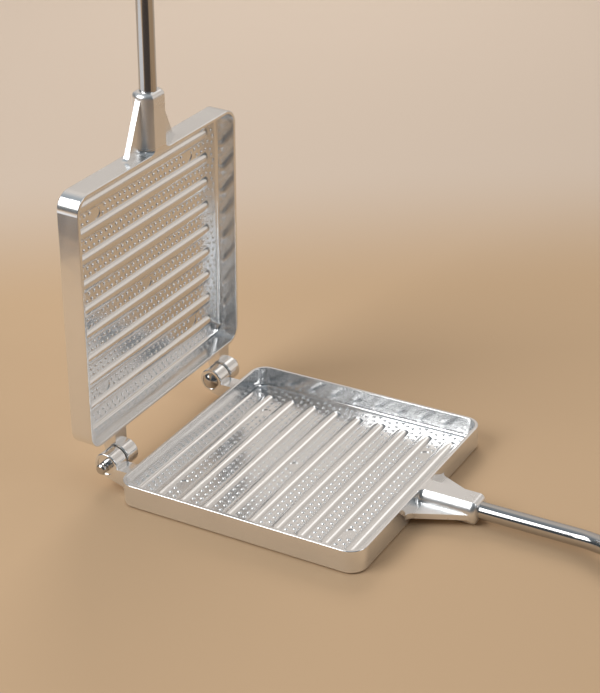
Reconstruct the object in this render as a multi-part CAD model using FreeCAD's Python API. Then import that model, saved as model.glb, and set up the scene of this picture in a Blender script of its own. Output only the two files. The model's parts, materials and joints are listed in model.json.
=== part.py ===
"""Hinged pie iron with two square ribbed plates, long rods and wooden grips.

Two castings from one pattern face each other. The lower one lies on its
underside, and the upper one is the same casting turned half a turn about the
handle's direction, then swung open on two hinge screws. Each screw is cut into
the outer knuckle of its pair and turns in the inner one, so the left screw
stays with the lower plate and the right one with the upper. All sizes are in
millimetres. +Z is up, the handles point along -Y, the hinge is on the +Y side,
and the origin is the centre of the lower plate's underside.
"""
import FreeCAD
import Part
import math
import os
from FreeCAD import Vector

X_AXIS = Vector(1, 0, 0)
Y_AXIS = Vector(0, 1, 0)
Z_AXIS = Vector(0, 0, 1)

# Plate
plate_side = 140.0
wall_height = 12.8
corner_radius = 9.0
underside_round = 0.9
rim_width = 1.8
rim_round = 0.5
floor_thickness = 1.8
wall_draft = 1.3        # how far the inner wall leans in between the rim and the floor
inner_round = 2.0       # fillet between the floor and the walls

# Ribs across the floor, parallel to the hinge
rib_pitch = 14.0
rib_height = 1.6
rib_width = 7.3
rib_foot_radius = 0.4
rib_foot_sink = 0.03    # the foot's curve ends this far under the floor
rib_end_gap = 7.7       # from a rib's round end to the inner wall
rib_shift = -0.6        # the rib pattern sits this far towards the handle
rib_wall_margin = 7.0   # least room between the outer ribs' middles and the wall

# Marks left by the ejector pins
mark_radius = 3.1
mark_depth = 0.35
mark_inset = 26.0       # from the inner wall to a corner mark's middle

# Handle socket
rod_radius = 4.5
socket_radius = 8.0
socket_length = 31.0
socket_end_round = 3.0
socket_root_round = 2.0
rod_depth = 25.0        # how far the rod goes into the socket
cast_clearance = 0.02   # round a piece that is fixed in the casting
web_foot = 20.0         # half the webs' width where they meet the wall
web_tip = 7.2           # half their width where they end in the barrel
web_tip_setback = 1.9   # from the socket's end to the webs' tip
web_thickness = 3.0
web_rise = 0.6          # the webs' top face above the rod's axis
web_foot_round = 2.5
socket_pin_radius = 1.5
socket_pin_setback = 15.0   # from the socket's end to the cross pin

# Hinge
hinge_reach = 13.5      # from the plate's edge to the hinge axis
rim_gap = 0.3           # between the two rims when the iron is shut
open_angle = 87.4       # from shut to the pose in which the iron stands
knuckle_setback = 20.0  # from the plate's side to the middle of a pair of knuckles
knuckle_width = 9.6
knuckle_radius = 6.9
knuckle_round = 0.9
arm_foot = 2.0          # height of the arm's underside where it leaves the wall
arm_top_drop = 0.4      # the arm's top below the rim
screw_radius = 2.9
running_clearance = 0.06
seat_radius = 5.3       # shallow dish in a knuckle's end face
seat_depth = 0.6
head_radius = 4.6
head_edge = 0.7
head_height = 2.9
washer_thickness = 0.8
washer_radius = 4.6
screw_end_reach = 5.0   # thread that stands out of the outer knuckle
thread_depth = 0.75
thread_pitch = 1.9
groove_width = 1.1
face_clearance = 0.05   # between flat faces that turn against each other

# Rod, grip and what holds it
bend_start = 57.0       # from the socket's end to the first corner of the rod's bend
bend_length = 36.0
bend_radius = 34.0
bend_side = 15.0        # how far the bend carries the rod sideways
grip_start = 151.0      # from the socket's end to the grip's front end
grip_length = 128.0
grip_radius = 11.8
grip_waist_radius = 10.0
grip_waist_share = 0.65  # the waist's place along the grip behind the ferrule
grip_palm_share = 0.25   # the fullest place along it
grip_front_radius = 9.4
grip_end_radius = 10.6
grip_end_round = 3.0
tenon_length = 15.0
tenon_radius = 8.0
ferrule_wall = 0.7
ferrule_nose = 5.0      # length of the ferrule's tapered nose in front of the tenon
ferrule_nose_radius = 6.2
stop_radius = 5.8       # ring raised on the rod in front of the ferrule
stop_width = 2.4
stop_round = 0.8
stud_radius = 3.0
stud_chamfer = 0.5
end_washer_thickness = 1.2
end_washer_radius = 8.0
end_washer_round = 0.4
cap_nut_flats = 10.0
cap_nut_hex_height = 5.0
cap_nut_dome_radius = 4.4
cap_nut_bore_depth = 7.0

overrun = 1.0           # how far a cutting shape passes the face that it cuts
overlap = 0.3           # how far joined shapes of one casting run into each other

# Places that follow from the sizes above
half_side = plate_side / 2
half_rim = half_side - rim_width
half_floor = half_rim - wall_draft
hinge_y = half_side + hinge_reach
hinge_z = wall_height + rim_gap / 2
rod_z = wall_height / 2
handle_y = -half_side
half_rib_count = int((half_floor - rib_wall_margin - abs(rib_shift)) // rib_pitch)
pair_x = half_side - knuckle_setback
inner_face_x = pair_x - washer_thickness / 2 - knuckle_width
outer_face_x = pair_x + washer_thickness / 2 + knuckle_width
socket_end_y = handle_y - socket_length
socket_pin_y = socket_end_y + socket_pin_setback
grip_front_y = socket_end_y - grip_start
grip_back_y = grip_front_y - grip_length
grip_axis = Vector(-bend_side, 0, hinge_z)


def revolved(profile, axis_point, axis):
    """Turns a closed outline round an axis."""
    return Part.Face(Part.makePolygon(profile + profile[:1])).revolve(axis_point, axis, 360)


def rounded_square(half, radius, z):
    """Closed outline of a square with round corners, centred on the Z axis."""
    straight = half - radius
    middle = radius * math.cos(math.pi / 4)
    edges = []
    for quarter in range(4):
        side_start = Vector(half, -straight, z)
        side_end = Vector(half, straight, z)
        arc_middle = Vector(straight + middle, straight + middle, z)
        arc_end = Vector(straight, half, z)
        side = Part.LineSegment(side_start, side_end).toShape()
        corner = Part.Arc(side_end, arc_middle, arc_end).toShape()
        for edge in (side, corner):
            edge.rotate(Vector(), Z_AXIS, quarter * 360 / 4)
            edges.append(edge)
    return Part.Wire(Part.__sortEdges__(edges))


def edges_at(shape, z):
    """Edges of a shape that lie flat at one height."""
    found = []
    for edge in shape.Edges:
        box = edge.BoundBox
        if max(abs(box.ZMin - z), abs(box.ZMax - z)) < face_clearance:
            found.append(edge)
    return found


def tray():
    """Square tray with a thin rim and a rounded underside."""
    block = Part.Face(rounded_square(half_side, corner_radius, 0)).extrude(Z_AXIS * wall_height)
    block = block.makeFillet(underside_round, edges_at(block, 0))
    hollow_top = wall_height + overrun
    lean = wall_draft / (wall_height - floor_thickness)
    top_half = half_rim + lean * overrun
    floor_wire = rounded_square(half_floor, corner_radius - rim_width - wall_draft, floor_thickness)
    top_wire = rounded_square(top_half, corner_radius - rim_width + lean * overrun, hollow_top)
    hollow = Part.makeLoft([floor_wire, top_wire], True, True)
    hollow = hollow.makeFillet(inner_round, edges_at(hollow, floor_thickness))
    body = block.cut(hollow)
    return body.makeFillet(rim_round, edges_at(body, wall_height))


def rib(y):
    """One rib, a segment of a circle in section, with round ends."""
    half_width = rib_width / 2
    crest_radius = (rib_height ** 2 + half_width ** 2) / (2 * rib_height)
    crest_centre = Vector(0, 0, floor_thickness + rib_height - crest_radius)
    foot_z = floor_thickness - rib_foot_sink
    foot_rise = foot_z + rib_foot_radius - crest_centre.z
    foot_reach = math.sqrt((crest_radius + rib_foot_radius) ** 2 - foot_rise ** 2)
    foot_centre = crest_centre + Vector(0, foot_reach, foot_rise)
    tilt = math.atan2(foot_reach, foot_rise)

    def slanted(angle):
        """Direction in the rib's section at an angle from straight up."""
        return Vector(0, math.sin(angle), math.cos(angle))

    crest = crest_centre + Z_AXIS * crest_radius
    crest_middle = crest_centre + slanted(tilt / 2) * crest_radius
    touch = crest_centre + slanted(tilt) * crest_radius
    foot_middle = foot_centre - slanted(tilt / 2) * rib_foot_radius
    foot = foot_centre - Z_AXIS * rib_foot_radius
    low = floor_thickness - overlap
    under_foot = Vector(0, foot.y, low)
    under_crest = Vector(0, 0, low)
    outline = [
        Part.Arc(crest, crest_middle, touch).toShape(),
        Part.Arc(touch, foot_middle, foot).toShape(),
        Part.LineSegment(foot, under_foot).toShape(),
        Part.LineSegment(under_foot, under_crest).toShape(),
        Part.LineSegment(under_crest, crest).toShape(),
    ]
    half_section = Part.Face(Part.Wire(outline))
    straight = half_floor - rib_end_gap - half_width
    end = half_section.revolve(Vector(), Z_AXIS, -360 / 2)
    end.translate(X_AXIS * straight)
    other_end = end.copy()
    other_end.rotate(Vector(), Z_AXIS, 360 / 2)
    side = half_section.extrude(X_AXIS * 2 * straight)
    side.translate(-X_AXIS * straight)
    other_side = side.copy()
    other_side.rotate(Vector(), Z_AXIS, 360 / 2)
    shape = side.fuse([other_side, end, other_end]).removeSplitter()
    shape.translate(Y_AXIS * y)
    return shape


def rib_places():
    """Y of the middle of each rib."""
    return [rib_shift + rib_pitch * step for step in range(-half_rib_count, half_rib_count + 1)]


def mark_places():
    """Middles of the five ejector marks, each in the groove between two ribs."""
    across = half_floor - mark_inset
    groove = rib_pitch / 2
    outer = rib_pitch * half_rib_count - groove
    corners = [(a * across, rib_shift + b * outer) for a in (-1, 1) for b in (-1, 1)]
    return corners + [(0, rib_shift + groove)]


def socket():
    """Round handle socket, flattened level with the rim and the underside."""
    start = Vector(0, handle_y + overlap, rod_z)
    barrel = Part.makeCylinder(socket_radius, socket_length + overlap, start, -Y_AXIS)
    trim_corner = Vector(-half_side, socket_end_y, 0)
    trim = Part.makeBox(plate_side, socket_length + rim_width, wall_height, trim_corner)
    barrel = barrel.common(trim)
    end = [edge for edge in barrel.Edges if edge.BoundBox.YMax < socket_end_y + face_clearance]
    barrel = barrel.makeFillet(socket_end_round, end)
    return barrel.fuse(socket_root().common(trim))


def socket_root():
    """Concave flare where the socket's barrel meets the wall."""
    bulge = socket_root_round * (1 - math.cos(math.pi / 4))
    flare_radius = socket_radius + socket_root_round
    middle = Vector(0, handle_y, rod_z)
    inner = middle + Y_AXIS * overlap
    outer = inner + X_AXIS * flare_radius
    at_wall = middle + X_AXIS * flare_radius
    arc_middle = middle + Vector(socket_radius + bulge, -bulge, 0)
    at_barrel = middle + Vector(socket_radius, -socket_root_round, 0)
    front = middle - Y_AXIS * socket_root_round
    edges = [
        Part.LineSegment(inner, outer).toShape(),
        Part.LineSegment(outer, at_wall).toShape(),
        Part.Arc(at_wall, arc_middle, at_barrel).toShape(),
        Part.LineSegment(at_barrel, front).toShape(),
        Part.LineSegment(front, inner).toShape(),
    ]
    return Part.Face(Part.Wire(edges)).revolve(middle, Y_AXIS, 360)


def webs():
    """Flat webs that flare from the socket to the wall, with rounded feet."""
    tip_y = socket_end_y + web_tip_setback
    foot_y = handle_y + overlap
    slope = (web_foot - web_tip) / (handle_y - tip_y)
    rise = web_foot_round
    start = Vector(web_foot + web_foot_round, handle_y, 0)
    end = Vector(web_foot - slope * rise, handle_y - rise, 0)
    middle = Vector(web_foot + slope * rise / 2, handle_y - rise / 4, 0)
    tip = Vector(web_tip, tip_y, 0)
    root = Vector(start.x, foot_y, 0)

    def other(point):
        return Vector(-point.x, point.y, point.z)

    edges = [
        Part.LineSegment(root, start).toShape(),
        Part.Arc(start, middle, end).toShape(),
        Part.LineSegment(end, tip).toShape(),
        Part.LineSegment(tip, other(tip)).toShape(),
        Part.LineSegment(other(tip), other(end)).toShape(),
        Part.Arc(other(end), other(middle), other(start)).toShape(),
        Part.LineSegment(other(start), other(root)).toShape(),
        Part.LineSegment(other(root), root).toShape(),
    ]
    flat = Part.Face(Part.Wire(edges)).extrude(Z_AXIS * web_thickness)
    flat.translate(Z_AXIS * (rod_z + web_rise - web_thickness))
    return flat


def tangent_below(start, centre, radius):
    """Point where a line from start touches the underside of a circle in the YZ plane."""
    dy = centre.y - start.y
    dz = centre.z - start.z
    distance = math.hypot(dy, dz)
    angle = math.atan2(dz, dy) - math.asin(radius / distance)
    reach = math.sqrt(distance ** 2 - radius ** 2)
    return Vector(start.x, start.y + reach * math.cos(angle), start.z + reach * math.sin(angle))


def knuckle(face_x, bore_radius, seat_x):
    """Knuckle and its arm, from face_x towards +X, with a dish in its face at seat_x."""
    centre = Vector(face_x, hinge_y, hinge_z)
    root_y = half_side - rim_width / 2
    barrel = Part.makeCylinder(knuckle_radius, knuckle_width, centre, X_AXIS)
    rims = [edge for edge in barrel.Edges if edge.BoundBox.XLength < face_clearance]
    barrel = barrel.makeFillet(knuckle_round, rims)
    low = Vector(face_x, half_side, arm_foot)
    touch = tangent_below(low, centre, knuckle_radius - knuckle_round / 2)
    top_z = wall_height - arm_top_drop
    outline = [
        Vector(face_x, root_y, arm_foot),
        low,
        touch,
        centre,
        Vector(face_x, hinge_y, top_z),
        Vector(face_x, root_y, top_z),
    ]
    arm = Part.Face(Part.makePolygon(outline + outline[:1])).extrude(X_AXIS * knuckle_width)
    bore = Part.makeCylinder(bore_radius, knuckle_width + 2 * overrun, centre - X_AXIS * overrun, X_AXIS)
    inward = 1 if seat_x == face_x else -1
    seat_start = Vector(seat_x - inward * overrun, hinge_y, hinge_z)
    seat = Part.makeCylinder(seat_radius, seat_depth + overrun, seat_start, X_AXIS * inward)
    return barrel.fuse(arm).cut(bore).cut(seat)


def plate():
    """One whole casting, as it lies with its tray upwards."""
    body = tray().fuse([rib(y) for y in rib_places()])
    for x, y in mark_places():
        mark_start = Vector(x, y, floor_thickness - mark_depth)
        body = body.cut(Part.makeCylinder(mark_radius, wall_height, mark_start))
    left = knuckle(-outer_face_x, screw_radius + cast_clearance, -outer_face_x)
    right = knuckle(inner_face_x, screw_radius + running_clearance, inner_face_x)
    body = body.fuse([socket(), webs(), left, right])
    rod_bore_start = Vector(0, socket_end_y - overrun, rod_z)
    rod_bore = Part.makeCylinder(rod_radius + cast_clearance, rod_depth + overrun, rod_bore_start, Y_AXIS)
    pin_hole_height = rod_z + rod_radius + overrun
    pin_hole_start = Vector(0, socket_pin_y, -overrun)
    pin_hole = Part.makeCylinder(socket_pin_radius + cast_clearance, pin_hole_height, pin_hole_start)
    return body.cut([rod_bore, pin_hole]).removeSplitter()


def rod():
    """Bent rod with a cross hole at one end and a stud at the other."""
    start = Vector(0, socket_end_y + rod_depth, rod_z)
    turn_in = Vector(0, socket_end_y - bend_start, rod_z)
    turn_out = Vector(grip_axis.x, turn_in.y - bend_length, grip_axis.z)
    stud_start = Vector(grip_axis.x, grip_back_y, grip_axis.z)
    slant = (turn_out - turn_in).normalize()
    turn = slant.getAngle(-Y_AXIS)
    tangent = bend_radius * math.tan(turn / 2)

    def bend(corner, before, after):
        """Arc that rounds a corner between two directions."""
        first = corner - before * tangent
        last = corner + after * tangent
        towards = (after - before).normalize()
        depth = bend_radius / math.cos(turn / 2) - bend_radius
        return first, Part.Arc(first, corner + towards * depth, last).toShape(), last

    first, bend_in, first_end = bend(turn_in, -Y_AXIS, slant)
    second, bend_out, second_end = bend(turn_out, slant, -Y_AXIS)
    path = Part.Wire([
        Part.LineSegment(start, first).toShape(),
        bend_in,
        Part.LineSegment(first_end, second).toShape(),
        bend_out,
        Part.LineSegment(second_end, stud_start).toShape(),
    ])
    section = Part.Wire(Part.makeCircle(rod_radius, start, Y_AXIS))
    body = path.makePipeShell([section], True, True)
    stop_start = Vector(grip_axis.x, grip_front_y + ferrule_nose + stop_width, grip_axis.z)
    stop = Part.makeCylinder(stop_radius, stop_width, stop_start, -Y_AXIS)
    stop_rims = [edge for edge in stop.Edges if edge.BoundBox.YLength < face_clearance]
    stop = stop.makeFillet(stop_round, stop_rims)
    stud_length = end_washer_thickness + cap_nut_bore_depth - overrun
    stud = Part.makeCylinder(stud_radius, stud_length + overlap, stud_start + Y_AXIS * overlap, -Y_AXIS)
    stud_tip = [edge for edge in stud.Edges if edge.BoundBox.YMax < stud_start.y - overlap]
    stud = stud.makeChamfer(stud_chamfer, stud_tip)
    pin_hole_start = Vector(0, socket_pin_y, 0)
    pin_hole = Part.makeCylinder(socket_pin_radius + cast_clearance, wall_height, pin_hole_start)
    return body.fuse([stop, stud]).cut(pin_hole)


def socket_pin():
    """Cross pin that holds the rod, flush in the socket's underside."""
    height = rod_z + rod_radius - underside_round
    start = Vector(0, socket_pin_y, underside_round)
    return Part.makeCylinder(socket_pin_radius, height, start)


def hinge_screw():
    """Right-hand hinge screw, its plain domed head inwards and its threaded end outwards."""
    seat_x = inner_face_x + seat_depth - face_clearance
    end_x = outer_face_x + screw_end_reach
    dome_height = head_height - head_edge
    dome_radius = (head_radius ** 2 + dome_height ** 2) / (2 * dome_height)
    top = Vector(seat_x - head_height, hinge_y, hinge_z)
    head_side = Vector(seat_x - head_edge, hinge_y + head_radius, hinge_z)
    half_angle = math.asin(head_radius / dome_radius) / 2
    dome_middle = top + Vector(1 - math.cos(half_angle), math.sin(half_angle), 0) * dome_radius
    under_rim = Vector(seat_x, head_side.y, hinge_z)
    under_middle = Vector(seat_x, hinge_y, hinge_z)
    outline = [
        Part.Arc(top, dome_middle, head_side).toShape(),
        Part.LineSegment(head_side, under_rim).toShape(),
        Part.LineSegment(under_rim, under_middle).toShape(),
        Part.LineSegment(under_middle, top).toShape(),
    ]
    head = Part.Face(Part.Wire(outline)).revolve(top, X_AXIS, 360)
    shank_start = under_middle - X_AXIS * overlap
    shank = Part.makeCylinder(screw_radius, end_x - shank_start.x, shank_start, X_AXIS)
    tip = [edge for edge in shank.Edges if edge.BoundBox.XMin > end_x - face_clearance]
    shank = shank.makeChamfer(thread_depth, tip)
    return head.fuse(shank).cut(thread_grooves())


def thread_grooves():
    """V grooves round the screw's end where it stands out of its knuckle."""
    grooves = []
    half = groove_width / 2
    edge_radius = screw_radius + face_clearance
    for step in range(int(screw_end_reach // thread_pitch)):
        x = outer_face_x + thread_pitch / 2 + step * thread_pitch
        middle = Vector(x, hinge_y, hinge_z)
        profile = [
            middle + Vector(-half, edge_radius, 0),
            middle + Vector(0, screw_radius - thread_depth, 0),
            middle + Vector(half, edge_radius, 0),
        ]
        grooves.append(revolved(profile, middle, X_AXIS))
    return grooves


def hinge_washer():
    """Flat washer between the two knuckles of the right-hand hinge."""
    start = Vector(pair_x - washer_thickness / 2, hinge_y, hinge_z)
    thickness = washer_thickness - face_clearance
    ring = Part.makeCylinder(washer_radius, thickness, start, X_AXIS)
    bore_start = start - X_AXIS * overrun
    bore_radius = screw_radius + running_clearance
    return ring.cut(Part.makeCylinder(bore_radius, thickness + 2 * overrun, bore_start, X_AXIS))


def along_grip(points):
    """Places (distance behind the grip's front, radius) pairs in the plane of the grip's axis."""
    return [Vector(grip_axis.x + radius, grip_front_y - back, grip_axis.z) for back, radius in points]


def grip():
    """Turned grip with a tenon under the ferrule, a full palm and a slimmer waist."""
    wood_length = grip_length - tenon_length
    bore = rod_radius + cast_clearance
    shoulder = tenon_length
    front = along_grip([(shoulder, grip_front_radius)])[0]
    palm = along_grip([(shoulder + wood_length * grip_palm_share, grip_radius)])[0]
    waist = along_grip([(shoulder + wood_length * grip_waist_share, grip_waist_radius)])[0]
    end = along_grip([(grip_length - grip_end_round, grip_end_radius)])[0]
    curve = Part.BSplineCurve()
    curve.interpolate([front, palm, waist, end])
    rounding_middle = along_grip([(
        grip_length - grip_end_round * (1 - math.sin(math.pi / 4)),
        grip_end_radius - grip_end_round * (1 - math.cos(math.pi / 4)))])[0]
    back = along_grip([(grip_length, grip_end_radius - grip_end_round)])[0]
    inner_back, inner_front, tenon_front, tenon_back = along_grip([
        (grip_length, bore), (0, bore), (0, tenon_radius), (tenon_length, tenon_radius)])
    edges = [
        curve.toShape(),
        Part.Arc(end, rounding_middle, back).toShape(),
        Part.LineSegment(back, inner_back).toShape(),
        Part.LineSegment(inner_back, inner_front).toShape(),
        Part.LineSegment(inner_front, tenon_front).toShape(),
        Part.LineSegment(tenon_front, tenon_back).toShape(),
        Part.LineSegment(tenon_back, front).toShape(),
    ]
    return Part.Face(Part.Wire(edges)).revolve(grip_axis, Y_AXIS, 360)


def ferrule():
    """Thin metal cap over the grip's tenon, tapering to a nose on the rod."""
    bore = rod_radius + cast_clearance
    outer = tenon_radius + ferrule_wall
    inner = tenon_radius + cast_clearance
    outline = along_grip([
        (tenon_length - cast_clearance, inner),
        (tenon_length - cast_clearance, outer),
        (0, outer),
        (-ferrule_nose, ferrule_nose_radius),
        (-ferrule_nose, bore),
        (-cast_clearance, bore),
        (-cast_clearance, inner),
    ])
    return revolved(outline, grip_axis, Y_AXIS)


def end_washer():
    """Flat washer behind the grip."""
    start = Vector(grip_axis.x, grip_back_y - cast_clearance, grip_axis.z)
    ring = Part.makeCylinder(end_washer_radius, end_washer_thickness, start, -Y_AXIS)
    back_rim = [edge for edge in ring.Edges if edge.BoundBox.YMax < start.y - end_washer_thickness / 2]
    ring = ring.makeFillet(end_washer_round, back_rim)
    bore_length = end_washer_thickness + overrun
    return ring.cut(Part.makeCylinder(stud_radius + cast_clearance, bore_length, start, -Y_AXIS))


def cap_nut():
    """Hexagon nut with a domed end, on the rod's stud."""
    base_back = grip_length + end_washer_thickness + 2 * cast_clearance
    hex_back = base_back + cap_nut_hex_height
    bore_radius = stud_radius + cast_clearance
    flat_radius = cap_nut_flats / 2
    hex_corner = flat_radius / math.cos(math.pi / 6)
    slope = math.tan(math.pi / 6)
    diagonal = cap_nut_dome_radius * math.cos(math.pi / 4)
    inner_base, corner_base, corner_top, dome_foot, dome_middle, dome_top, bore_end, bore_side = along_grip([
        (base_back, bore_radius),
        (base_back, hex_corner),
        (hex_back - (hex_corner - cap_nut_dome_radius) * slope, hex_corner),
        (hex_back, cap_nut_dome_radius),
        (hex_back + diagonal, diagonal),
        (hex_back + cap_nut_dome_radius, 0),
        (base_back + cap_nut_bore_depth, 0),
        (base_back + cap_nut_bore_depth, bore_radius),
    ])
    outline = [
        Part.LineSegment(inner_base, corner_base).toShape(),
        Part.LineSegment(corner_base, corner_top).toShape(),
        Part.LineSegment(corner_top, dome_foot).toShape(),
        Part.Arc(dome_foot, dome_middle, dome_top).toShape(),
        Part.LineSegment(dome_top, bore_end).toShape(),
        Part.LineSegment(bore_end, bore_side).toShape(),
        Part.LineSegment(bore_side, inner_base).toShape(),
    ]
    turned = Part.Face(Part.Wire(outline)).revolve(grip_axis, Y_AXIS, 360)
    middle = Vector(grip_axis.x, inner_base.y, grip_axis.z)
    corners = []
    for step in range(6):
        angle = math.pi / 6 + step * math.pi / 3
        corners.append(middle + Vector(math.cos(angle), 0, math.sin(angle)) * hex_corner)
    length = cap_nut_hex_height + cap_nut_dome_radius
    prism = Part.Face(Part.makePolygon(corners + corners[:1])).extrude(-Y_AXIS * length)
    return turned.common(prism)


def to_left(shape):
    """Turns a right-hand hinge piece into its left-hand place."""
    turned = shape.copy()
    turned.rotate(Vector(0, hinge_y, hinge_z), Z_AXIS, 180)
    return turned


def to_upper(shape):
    """Turns a piece of the lower half over onto the upper half, and swings it open."""
    turned = shape.copy()
    turned.rotate(Vector(0, 0, hinge_z), Y_AXIS, 180)
    turned.rotate(Vector(0, hinge_y, hinge_z), X_AXIS, -open_angle)
    return turned


def build():
    """Every sub-part by its node's name."""
    parts = {
        "lower_plate": plate(),
        "right_hinge_screw": hinge_screw(),
        "right_hinge_washer": hinge_washer(),
    }
    parts["upper_plate"] = to_upper(parts["lower_plate"])
    for name in ("hinge_screw", "hinge_washer"):
        parts["left_" + name] = to_left(parts["right_" + name])
    halves = {
        "rod": rod(),
        "socket_pin": socket_pin(),
        "grip": grip(),
        "ferrule": ferrule(),
        "end_washer": end_washer(),
        "cap_nut": cap_nut(),
    }
    for name, shape in halves.items():
        parts["lower_" + name] = shape
        parts["upper_" + name] = to_upper(shape)
    return parts


os.makedirs("parts", exist_ok=True)
for node, shape in build().items():
    shape.exportStep("parts/" + node + ".step")
    print(f"{node}: {len(shape.Solids)} solid, valid {shape.isValid()}, volume {shape.Volume:.0f}")
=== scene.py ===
# %% [markdown]
# # A hinged pie iron of cast aluminium
#
# Two square trays with ribs close face to face. Each is one aluminium casting with a bright steel
# rod in its socket and a turned wooden grip at the rod's end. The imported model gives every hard
# piece at its real size, so this file adds what a model for fitting leaves out: the rows of small
# bumps in the trays, and the finish of each surface.

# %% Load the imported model
import json
import math

import bpy
from mathutils import Matrix, Vector


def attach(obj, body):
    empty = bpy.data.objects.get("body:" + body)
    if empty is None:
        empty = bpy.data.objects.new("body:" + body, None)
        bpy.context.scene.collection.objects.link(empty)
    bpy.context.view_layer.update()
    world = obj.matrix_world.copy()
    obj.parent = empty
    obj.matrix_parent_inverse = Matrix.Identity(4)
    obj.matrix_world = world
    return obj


MM = 0.001
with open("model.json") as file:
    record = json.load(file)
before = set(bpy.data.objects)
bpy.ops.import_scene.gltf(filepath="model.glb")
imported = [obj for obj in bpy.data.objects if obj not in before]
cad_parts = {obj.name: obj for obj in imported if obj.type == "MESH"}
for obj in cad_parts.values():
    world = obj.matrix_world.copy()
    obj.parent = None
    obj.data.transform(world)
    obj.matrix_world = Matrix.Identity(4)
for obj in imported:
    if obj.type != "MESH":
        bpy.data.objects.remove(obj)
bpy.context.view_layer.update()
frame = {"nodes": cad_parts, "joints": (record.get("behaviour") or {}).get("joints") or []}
nodes = frame["nodes"]
bpy.ops.object.select_all(action="DESELECT")

# %% [markdown]
# ## The camera
#
# The camera stands where the photograph was taken from: about 28 degrees above the table, on the
# side where the left hinge is nearest. A fit of known edges of the plates gave its place and its
# turn. It could be turned by three angles, but it is written as a place, the direction that it
# looks in and the direction that points right in the picture, because those are easier to read.

# %% Camera
EYE = Vector((-650.43, -392.11, 478.93)) * MM
LOOK = Vector((0.75566, 0.45571, -0.47043)).normalized()
RIGHT = Vector((0.50111, -0.86476, -0.03276)).normalized()
FRAME_HEIGHT_MM = 24
LENS_MM = 59.28

camera_data = bpy.data.cameras.new("camera")
camera_data.sensor_fit = "VERTICAL"
camera_data.sensor_height = FRAME_HEIGHT_MM
camera_data.lens = LENS_MM
camera = bpy.data.objects.new("camera", camera_data)
bpy.context.scene.collection.objects.link(camera)
up = RIGHT.cross(LOOK)
turn = Matrix((RIGHT, up, -LOOK)).transposed().to_4x4()
camera.matrix_world = Matrix.Translation(EYE) @ turn
bpy.context.scene.camera = camera
print("camera height above the table", round(EYE.z, 3), "m")

# %% [markdown]
# ## Writing shaders as sums
#
# A finish is a small calculation: how rough a spot is follows from a few noises added together.
# A drawing of nodes hides that, so this class wraps one output of a node. Python then turns
# `2 * grain + 0.1` into two Math nodes, and `1 - mask` into one.

# %% Numbers in a shader
class Number:
    """One float output of a node tree that can be used in Python arithmetic."""

    def __init__(self, shader, socket):
        self.shader = shader
        self.socket = socket

    def _math(self, operation, first, second):
        node = self.shader.add("ShaderNodeMath", {"operation": operation}, {0: first, 1: second})
        return Number(self.shader, node.outputs[0])

    def __add__(self, other):
        return self._math("ADD", self, other)

    def __radd__(self, other):
        return self._math("ADD", other, self)

    def __sub__(self, other):
        return self._math("SUBTRACT", self, other)

    def __rsub__(self, other):
        return self._math("SUBTRACT", other, self)

    def __mul__(self, other):
        return self._math("MULTIPLY", self, other)

    def __rmul__(self, other):
        return self._math("MULTIPLY", other, self)

    def steps(self, low, high):
        """0 below low, 1 above high, and a smooth change between."""
        node = self.shader.add("ShaderNodeMapRange", {"interpolation_type": "SMOOTHSTEP"},
                               {"Value": self, "From Min": low, "From Max": high})
        return Number(self.shader, node.outputs["Result"])

# %% [markdown]
# ## A material that is built from Python
#
# Every node comes from one method, `add`, which takes the node's type, its settings and what goes
# into its sockets. A few short methods on top of it make the nodes that these finishes need again
# and again: a place to read a pattern from, a noise, a mix of two colours and a bump.

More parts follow.
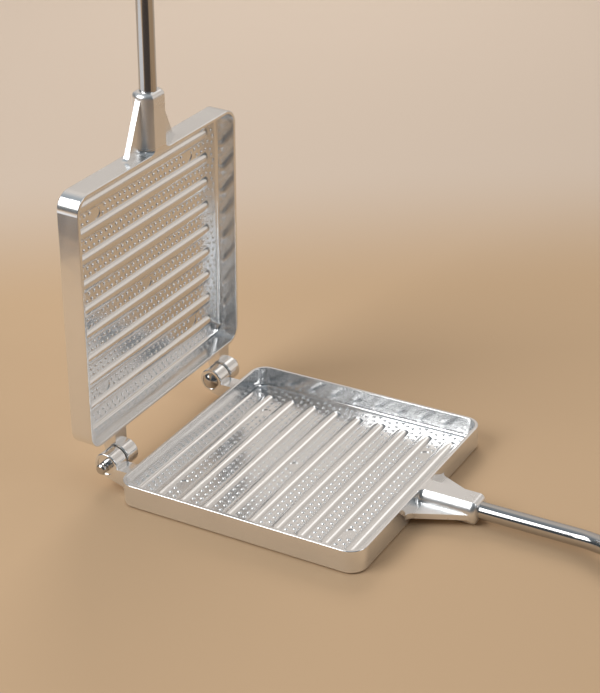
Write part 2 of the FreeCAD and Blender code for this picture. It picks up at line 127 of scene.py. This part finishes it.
# %% Shader helper
class Shader:
    """A material whose nodes are added one by one."""

    def __init__(self, name):
        self.material = bpy.data.materials.new(name)
        self.material.use_nodes = True
        self.tree = self.material.node_tree
        self.surface = self.tree.nodes["Principled BSDF"]

    def add(self, kind, settings=None, inputs=None):
        """Adds a node, sets it up, then gives its sockets values or links."""
        node = self.tree.nodes.new(kind)
        for key, value in (settings or {}).items():
            if key == "stops":
                self._stops(node.color_ramp, value)
            else:
                setattr(node, key, value)
        for key, value in (inputs or {}).items():
            self.feed(node.inputs[key], value)
        return node

    def _stops(self, ramp, stops):
        """Gives a colour ramp its places and colours."""
        while len(ramp.elements) < len(stops):
            ramp.elements.new(0.5)
        for element, (place, colour) in zip(ramp.elements, stops):
            element.position = place
            element.color = (*colour, 1)

    def feed(self, socket, value):
        """Gives one socket a link or a plain value. A colour gets its alpha of 1 here."""
        if isinstance(value, Number):
            value = value.socket
        if isinstance(value, bpy.types.NodeSocket):
            self.tree.links.new(value, socket)
        elif hasattr(value, "__len__") and len(value) < len(socket.default_value):
            socket.default_value = (*value, 1)
        else:
            socket.default_value = value

    def set(self, **inputs):
        """Sets the surface's own sockets, named with underscores for spaces."""
        for key, value in inputs.items():
            self.feed(self.surface.inputs[key.replace("_", " ")], value)

    def places(self, place=Matrix(), stretch=(1, 1, 1)):
        """Object coordinates in metres, seen from a pattern that is placed and stretched."""
        source = self.add("ShaderNodeTexCoord").outputs["Object"]
        mapping = self.add("ShaderNodeMapping", {"vector_type": "TEXTURE"}, {
            "Vector": source, "Location": place.to_translation(),
            "Rotation": place.to_euler(), "Scale": stretch})
        return mapping.outputs["Vector"]

    def noise(self, places, waves, detail=2, roughness=0.5, distortion=0):
        """A noise from 0 to 1 with so many waves to the metre."""
        node = self.add("ShaderNodeTexNoise", None, {
            "Vector": places, "Scale": waves, "Detail": detail, "Roughness": roughness,
            "Distortion": distortion})
        return Number(self, node.outputs[0])

    def mix(self, amount, first, second):
        """The first colour where the amount is 0, and the second where it is 1."""
        node = self.add("ShaderNodeMix", {"data_type": "RGBA"}, {0: amount, 6: first, 7: second})
        return node.outputs[2]

    def bump(self, height, strength, distance, normal=None):
        """A normal that is tilted by a height, with its distance in metres."""
        inputs = {"Height": height, "Strength": strength, "Distance": distance}
        if normal is not None:
            inputs["Normal"] = normal
        return self.add("ShaderNodeBump", None, inputs).outputs["Normal"]


def dress(name, material):
    """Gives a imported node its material."""
    for material_slot in nodes[name].material_slots:
        material_slot.material = material

# %% [markdown]
# ## Where the upper half stands
#
# Both halves come from one pattern. The upper one is the lower one turned over at the parting
# plane and swung open about the hinge. The joint's upper limit is the shut iron, so it also says
# how far open the iron stands now. With that place a finish or a row of bumps is worked out once,
# in the lower half's own coordinates, and used for both.

# %% Places of the two halves
hinge = frame["joints"][0]
hinge_place = Vector(hinge["pos_m"])
open_angle = math.radians(hinge["range_deg"][1])
half_turn = Matrix.Rotation(math.pi, 4, "Y")
swing = Matrix.Rotation(-open_angle, 4, "X")
parting = Vector((0, 0, hinge_place.z))
turned_over = Matrix.Translation(parting) @ half_turn @ Matrix.Translation(-parting)
swung_open = Matrix.Translation(hinge_place) @ swing @ Matrix.Translation(-hinge_place)
HALVES = {"lower": Matrix(), "upper": swung_open @ turned_over}
print("the upper half stands open by", round(math.degrees(open_angle), 1), "degrees")

# %% [markdown]
# ## Cast aluminium
#
# Both trays are die cast, then tumbled until they shine softly. The metal mirrors the table and
# the light, but a little blurred, and the mirror image swims because a casting is never quite
# flat. A picture of a casting could be wrapped round it, but noises have no seams and stay sharp
# close by. A broad shallow bump gives the swimming, a fine one the skin of the casting, and one
# between them the lumps of the socket, which was left rougher than the tray.

# %% Cast aluminium
SOCKET_ROOT = -70 * MM
SOCKET_FADE = 4 * MM
PLATE_DULLNESS = 0.13
BUMP_DULLNESS = 0.20
SHADED_CAST = (0.84, 0.85, 0.86)
BRIGHT_CAST = (0.92, 0.92, 0.915)


def cast_aluminium(name, place, dullness):
    """Bright tumbled casting with a soft, slightly uneven shine, duller on the socket."""
    shader = Shader(name)
    places = shader.places(place)
    along = shader.add("ShaderNodeSeparateXYZ", None, {"Vector": places}).outputs["Y"]
    socket = (SOCKET_ROOT - Number(shader, along)).steps(0, SOCKET_FADE)
    cloud = shader.noise(places, waves=45, detail=3)
    swell = shader.noise(places, waves=70, detail=1)
    peel = shader.noise(places, waves=480, detail=2)
    skin = shader.noise(places, waves=2300, detail=2)
    uneven = 0.05 * cloud.steps(0.38, 0.68) + 0.04 * skin + 0.12 * socket
    shader.set(Base_Color=shader.mix(cloud, SHADED_CAST, BRIGHT_CAST))
    shader.set(Metallic=0.90, Roughness=dullness + uneven)
    broad = shader.bump(swell, strength=0.5, distance=0.25 * MM)
    lumps = peel * (0.1 + 0.9 * socket)
    middle = shader.bump(lumps, strength=0.5, distance=0.10 * MM, normal=broad)
    shader.set(Normal=shader.bump(skin, strength=0.1, distance=0.03 * MM, normal=middle))
    return shader.material


aluminium = {}
for half, place in HALVES.items():
    aluminium[half] = cast_aluminium(f"{half}_bump_aluminium", place, BUMP_DULLNESS)
    dress(f"{half}_plate", cast_aluminium(f"{half}_cast_aluminium", place, PLATE_DULLNESS))
print("aluminium for the plates and for the bumps of", list(aluminium))

# %% [markdown]
# ## Plated steel
#
# The rods and the hinge screws are plated, so they are close to mirrors. Handling leaves hair
# scratches along the rod. A scratch is a noise that is stretched along Y, and it only changes the
# shine a little, because deep scratches would make the rod look brushed.

# %% Plated steel
PLATING = (0.55, 0.545, 0.54)
HAIR_STRETCH = (1, 60, 1)


def plated_steel(name, place):
    """Bright plating with faint hairlines along the rod."""
    shader = Shader(name)
    hair = shader.noise(shader.places(place, HAIR_STRETCH), waves=1800, detail=2, roughness=0.6)
    film = shader.noise(shader.places(place), waves=90, detail=3)
    shader.set(Base_Color=PLATING, Metallic=1.0)
    shader.set(Roughness=0.06 + 0.06 * film + 0.06 * hair.steps(0.5, 0.8))
    shader.set(Normal=shader.bump(hair, strength=0.1, distance=0.02 * MM))
    return shader.material


for half, place in HALVES.items():
    plating = plated_steel(f"{half}_plated_steel", place)
    for piece in ("rod", "ferrule", "cap_nut"):
        dress(f"{half}_{piece}", plating)
for side in ("left", "right"):
    dress(f"{side}_hinge_screw", plating)
print("plated: rods, ferrules, cap nuts and hinge screws")

# %% [markdown]
# ## Plain steel, and steel painted near black in the hinges
#
# The cross pins and the washers under the cap nuts are turned steel without plating. The thin
# washers in the hinges are painted almost black, as painted shade that stands for the shadow in
# the gap between two knuckles, so a dark ring shows there. One function makes both, because only
# the colour differs.

# %% Plain steel
def plain_steel(name, colour):
    """Turned steel, duller than the plating."""
    shader = Shader(name)
    grain = shader.noise(shader.places(), waves=1500, detail=3, roughness=0.6)
    shader.set(Base_Color=colour, Metallic=1.0)
    shader.set(Roughness=0.32 + 0.2 * grain)
    shader.set(Normal=shader.bump(grain, strength=0.1, distance=0.05 * MM))
    return shader.material


grey_steel = plain_steel("plain_steel", (0.36, 0.36, 0.36))
# Painted shade: the hinge washers are near black, standing for the shadow in the gap between two
# knuckles.
gap_shadow_steel = plain_steel("painted_gap_shadow", (0.045, 0.042, 0.04))
for half in HALVES:
    for piece in ("socket_pin", "end_washer"):
        dress(f"{half}_{piece}", grey_steel)
for side in ("left", "right"):
    dress(f"{side}_hinge_washer", gap_shadow_steel)
# The hinge washers' near black is painted shade for the gaps between the knuckles.
print("plain steel: cross pins and end washers; oiled steel: hinge washers")

# %% [markdown]
# ## Varnished wood
#
# The grips are turned from one piece of hardwood, so the grain runs along them. A Wave texture
# draws rings that are too even, so the grain is a noise that is stretched along Y and coloured
# by a ramp from dark pores to pale wood. A coat over it is the satin varnish.

# %% Varnished wood
GRAIN_STRETCH = (1, 12, 1)
WOOD_TONES = [(0.25, (0.17, 0.075, 0.03)), (0.5, (0.33, 0.17, 0.075)), (0.75, (0.46, 0.26, 0.13))]


def varnished_wood(name, place):
    """Turned hardwood with grain along the handle, under satin varnish."""
    shader = Shader(name)
    grain = shader.noise(shader.places(place, GRAIN_STRETCH), waves=420, detail=5, roughness=0.65,
                         distortion=0.4)
    ramp = shader.add("ShaderNodeValToRGB", {"stops": WOOD_TONES}, {"Fac": grain})
    shader.set(Base_Color=ramp.outputs["Color"], Roughness=0.38)
    shader.set(Coat_Weight=0.6, Coat_Roughness=0.12)
    shader.set(Normal=shader.bump(grain, strength=0.15, distance=0.2 * MM))
    return shader.material


for half, place in HALVES.items():
    dress(f"{half}_grip", varnished_wood(f"{half}_varnished_wood", place))
print("varnished grips", len(HALVES))

# %% [markdown]
# ## One bump
#
# Small round bumps stand between the ribs, so that a toasted slice lifts off. Each is the top of
# a small ball. A bump in the material alone would vanish where the tray is seen from the side and
# in the exported meshes, so they are real shapes. There are hundreds of them, so the ball has
# only a few sides, and it is cut off level just below the tray's floor.

# %% One bump
BUMP_RADIUS = 1.2 * MM
BUMP_HEIGHT = 0.68 * MM
BUMP_SIDES = 10
SINK = 0.05 * MM
SMOOTH_UP_TO = math.radians(50)


def make_bump():
    """The top of a small ball, cut off level and closed underneath, with its foot at Z 0."""
    height = BUMP_HEIGHT + SINK
    ball = (height ** 2 + BUMP_RADIUS ** 2) / (2 * height)
    bpy.ops.mesh.primitive_uv_sphere_add(segments=BUMP_SIDES, ring_count=BUMP_SIDES, radius=ball)
    bump = bpy.context.object
    bpy.ops.object.mode_set(mode="EDIT")
    bpy.ops.mesh.select_all(action="SELECT")
    cut_height = ball - height
    bpy.ops.mesh.bisect(plane_co=(0, 0, cut_height), plane_no=(0, 0, 1), clear_inner=True,
                        use_fill=True)
    bpy.ops.mesh.select_all(action="SELECT")
    bpy.ops.transform.translate(value=(0, 0, -cut_height))
    bpy.ops.object.mode_set(mode="OBJECT")
    bpy.ops.object.shade_smooth_by_angle(angle=SMOOTH_UP_TO)
    return bump


one_bump = make_bump()
print("one bump has", len(one_bump.data.polygons), "faces")

# %% [markdown]
# ## Where the bumps stand
#
# Two rows of bumps run between each pair of ribs, half a step apart, and up to four more for each
# rib stand along the wall past the rows' ends. No bump stands on the round marks that the mould's
# pins left. An Array modifier could repeat them, but it can't leave gaps, so the places are worked
# out in loops. The ribs lie a little off the tray's middle, so one side has room for one more row.

# %% Places of the bumps
RIB_PITCH = 14.0 * MM
RIB_SHIFT = -0.6 * MM
RIB_COUNT = 9
BUMP_PITCH = 4.22 * MM
NEAR_ROW = 5.15 * MM
FAR_ROW = 8.85 * MM
ROW_END = 59.5 * MM
OUTERMOST_ROW = 64.2 * MM
NARROW_SIDE_ROOM = 63.0 * MM
MARK_X = 40.9 * MM
MARK_Y = 3.5 * RIB_PITCH
MARK_CLEAR = 4.6 * MM
END_ROOM = 64.0 * MM
# X, and the distance past the rib, of the bumps along the wall
END_BUMPS = [(62.4 * MM, 0.0), (61.3 * MM, 3.5 * MM), (63.0 * MM, 7.0 * MM), (64.0 * MM, 10.4 * MM)]

SIDES = (1, -1)
ribs = [step * RIB_PITCH for step in range(RIB_COUNT // 2 + 1)]
marks = [(across * MARK_X, way * MARK_Y) for across in SIDES for way in SIDES] + [(0, RIB_PITCH / 2)]


def row_places():
    """X and Y of the bumps in straight rows, on both sides of the middle rib."""
    reach = math.ceil(ROW_END / BUMP_PITCH)
    for way in SIDES:
        for rib in ribs:
            for row, phase in ((rib + NEAR_ROW, 0.5), (rib + FAR_ROW, 0.0)):
                if way < 0 and row > NARROW_SIDE_ROOM:
                    continue
                y = way * min(row, OUTERMOST_ROW)
                for step in range(-reach, reach + 1):
                    x = (step + phase) * BUMP_PITCH
                    clear = all(math.hypot(x - mx, y - my) > MARK_CLEAR for mx, my in marks)
                    if abs(x) < ROW_END and clear:
                        yield x, y + RIB_SHIFT


def end_places():
    """X and Y of the bumps along the wall, past the rows' ends."""
    for way in SIDES:
        for across in SIDES:
            for rib in ribs:
                for x, past_rib in END_BUMPS:
                    y = rib + past_rib
                    middle_again = y == 0 and way < 0
                    if y < END_ROOM and not middle_again:
                        yield across * x, way * y + RIB_SHIFT


bump_places = [*row_places(), *end_places()]
print("bumps in a tray", len(bump_places))

# %% [markdown]
# ## The lower tray's bumps
#
# The one bump is copied to each place and the copies are joined, which gives one mesh for a tray.
# It stands on the tray's floor and sinks in a hair's breadth, so that no gap shows. Copying the
# finished bump is quicker than shaping each one, and every copy stays exactly alike.

# %% The lower tray's bumps
FLOOR_Z = 1.8 * MM


def copies(source, places, z, name):
    """Copies a piece to each place and joins the copies."""
    made = []
    for x, y in places:
        copy = source.copy()
        copy.data = source.data.copy()
        copy.location = (x, y, z)
        bpy.context.scene.collection.objects.link(copy)
        made.append(copy)
    bpy.ops.object.select_all(action="DESELECT")
    for copy in made:
        copy.select_set(True)
    bpy.context.view_layer.objects.active = made[0]
    bpy.ops.object.join()
    joined = bpy.context.object
    joined.name = name
    bpy.ops.object.transform_apply(location=True, rotation=True, scale=True)
    return joined


lower_bumps = copies(one_bump, bump_places, FLOOR_Z - SINK, "lower_tray_bumps")
bpy.data.objects.remove(one_bump)
print("faces of a tray's bumps", len(lower_bumps.data.polygons))

# %% [markdown]
# ## The upper tray's bumps
#
# The upper tray has the same bumps. A linked copy that is turned as an object would be simpler,
# but the export wants every piece's place in its mesh, so the mesh is copied and then moved by
# the upper half's place. Each tray's bumps ride on their half. Their finish is a little duller
# than the plate's, because small round highlights otherwise look too sharp.

# %% The upper tray's bumps
bpy.ops.object.select_all(action="DESELECT")
upper_bumps = lower_bumps.copy()
upper_bumps.data = lower_bumps.data.copy()
upper_bumps.name = "upper_tray_bumps"
bpy.context.scene.collection.objects.link(upper_bumps)
upper_bumps.data.transform(HALVES["upper"])
for half, bumps in (("lower", lower_bumps), ("upper", upper_bumps)):
    bumps.data.materials.clear()
    bumps.data.materials.append(aluminium[half])
    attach(bumps, f"{half}_half")
print("bump pieces", lower_bumps.name, upper_bumps.name)

# %% [markdown]
# ## The table
#
# The iron lies on a warm, plain table that gets paler with distance. The table is one large
# plane, and the change of tone follows the direction in which the camera looks, but it is
# measured on the table itself, so it stays in place when the view moves.

# %% Table
FLOOR_SIZE = 8.0
FLOOR_DROP = 0.5 * MM
NEAR_TONE = (0.60, 0.41, 0.245)
FAR_TONE = (0.68, 0.545, 0.43)
TONE_CHANGE = (0.20, 0.42)

bpy.ops.mesh.primitive_plane_add(size=FLOOR_SIZE, location=(0, 0, -FLOOR_DROP))
floor = bpy.context.object
floor.name = "table"
paper = Shader("pale_paper")
facing = Matrix.Rotation(math.atan2(LOOK.y, LOOK.x), 4, "Z")
away = paper.add("ShaderNodeSeparateXYZ", None, {"Vector": paper.places(facing)}).outputs["X"]
pale = paper.mix(Number(paper, away).steps(*TONE_CHANGE), NEAR_TONE, FAR_TONE)
floor.data.materials.append(paper.material)
print("table", FLOOR_SIZE, "m wide")

# %% [markdown]
# ## What the metal mirrors
#
# Bright metal is seen mostly by what it mirrors. Dark and pale things round the iron could be
# modelled, but they would stand in other views. So the table has two dark patches and a white
# one that only mirror images show: the Light Path node tells a ray that left a shiny surface
# from one that left the camera. The patch in front darkens the middle of the upper rod, the one
# beside the iron darkens the top of the upper tray's outer wall, and the white one draws a pale
# band along the upper rod's edge.

# %% Patches that only mirror images show
PATCH_DARK = (0.08, 0.06, 0.05)
PATCH_WHITE = (0.80, 0.80, 0.82)


def spot(x, y, degrees):
    """A place on the table with a turn."""
    return Matrix.Translation((x, y, 0)) @ Matrix.Rotation(math.radians(degrees), 4, "Z")


def patch(place, reach, edge):
    """1 inside an ellipse on the table, 0 outside it; the soft edge starts at a share of it."""
    centred = paper.places(place, (*reach, 1))
    node = paper.add("ShaderNodeVectorMath", {"operation": "LENGTH"}, {0: centred})
    return 1 - Number(paper, node.outputs["Value"]).steps(edge, 1.0)


front_patch = patch(facing @ spot(-0.56, 0, 0), reach=(0.35, 0.60), edge=0.65)
side_patch = patch(spot(-0.395, 0.29, 148.9), reach=(0.09, 0.30), edge=0.75)
white_patch = patch(spot(-0.47, 0.55, 132), reach=(0.30, 0.40), edge=0.80)
mirrored = Number(paper, paper.add("ShaderNodeLightPath").outputs["Is Glossy Ray"])
tone = paper.mix(mirrored * white_patch, pale, PATCH_WHITE)
tone = paper.mix(mirrored * (front_patch + side_patch), tone, PATCH_DARK)
paper.set(Base_Color=tone, Roughness=0.9)
print("nodes of the table's material", len(paper.tree.nodes))

# %% [markdown]
# ## The lamps
#
# A large soft window on the left gives the main light and the soft shadows, and a weak lamp on
# the right fills them. One behind the iron is there for the table alone, so its mirror image is
# switched off, and a small faint one behind on the right draws the bright lines on the crests
# of the lower ribs. All are area lamps, because their size sets how soft a highlight is.

# %% Lamps
def softbox(name, place, aim, size, watts):
    """An area lamp that looks at a point."""
    light = bpy.data.lights.new(name, "AREA")
    light.shape = "RECTANGLE"
    light.size, light.size_y = size
    light.energy = watts
    lamp = bpy.data.objects.new(name, light)
    lamp.location = place
    lamp.rotation_euler = (Vector(aim) - Vector(place)).to_track_quat("-Z", "Y").to_euler()
    bpy.context.scene.collection.objects.link(lamp)
    return lamp


softbox("window", place=(-0.99, 0.73, 1.05), aim=(0, 0, 0.05), size=(1.0, 0.95), watts=15)
softbox("front", place=(0.15, -1.25, 0.80), aim=(0, 0, 0.1), size=(0.6, 0.6), watts=3)
behind = softbox("behind", place=(1.0, 0.55, 0.85), aim=(0.1, 0, 0), size=(0.6, 0.6), watts=5.2)
behind.visible_glossy = False
softbox("crest", place=(1.15, -0.07, 1.0), aim=(0, 0, 0), size=(0.4, 0.4), watts=0.33)

# %% [markdown]
# ## The sky
#
# The metal also mirrors the sky. It is dim and cool all round, with a broad warm glow behind the
# iron, a weaker glow overhead and a narrow bright card low on the right, which brightens the ribs
# of the upper tray. A picture of a studio could do this too, but each glow here is only a smooth
# step on how nearly a direction matches its own, so it is easy to move.

# %% Sky
SKY_TINT = (0.80, 0.91, 1.0)
BACKDROP_TINT = (0.92, 0.83, 0.75)

world = bpy.data.worlds.new("studio")
bpy.context.scene.world = world
world.use_nodes = True


class WorldShader(Shader):
    """The same helper on the world's nodes."""

    def __init__(self, world):
        self.tree = world.node_tree
        self.surface = self.tree.nodes["Background"]


sky = WorldShader(world)
outward = sky.add("ShaderNodeTexCoord").outputs["Generated"]


def towards(direction, low, high):
    """1 where the sky lies towards a direction, and 0 away from it."""
    node = sky.add("ShaderNodeVectorMath", {"operation": "DOT_PRODUCT"},
                   {0: outward, 1: Vector(direction).normalized()})
    return Number(sky, node.outputs["Value"]).steps(low, high)


backdrop = towards((1.0, 0.10, 0.25), low=0.05, high=0.75)
overhead = towards((0.1, 0.2, 1.0), low=0.30, high=0.95)
card = towards((0.76, -0.64, 0.10), low=0.93, high=0.985)
sky.set(Color=sky.mix(backdrop, SKY_TINT, BACKDROP_TINT))
sky.set(Strength=0.09 + 0.46 * backdrop + 0.24 * overhead + 0.32 * card)
bpy.context.scene.view_settings.view_transform = "Standard"
print("nodes of the sky", len(sky.tree.nodes))
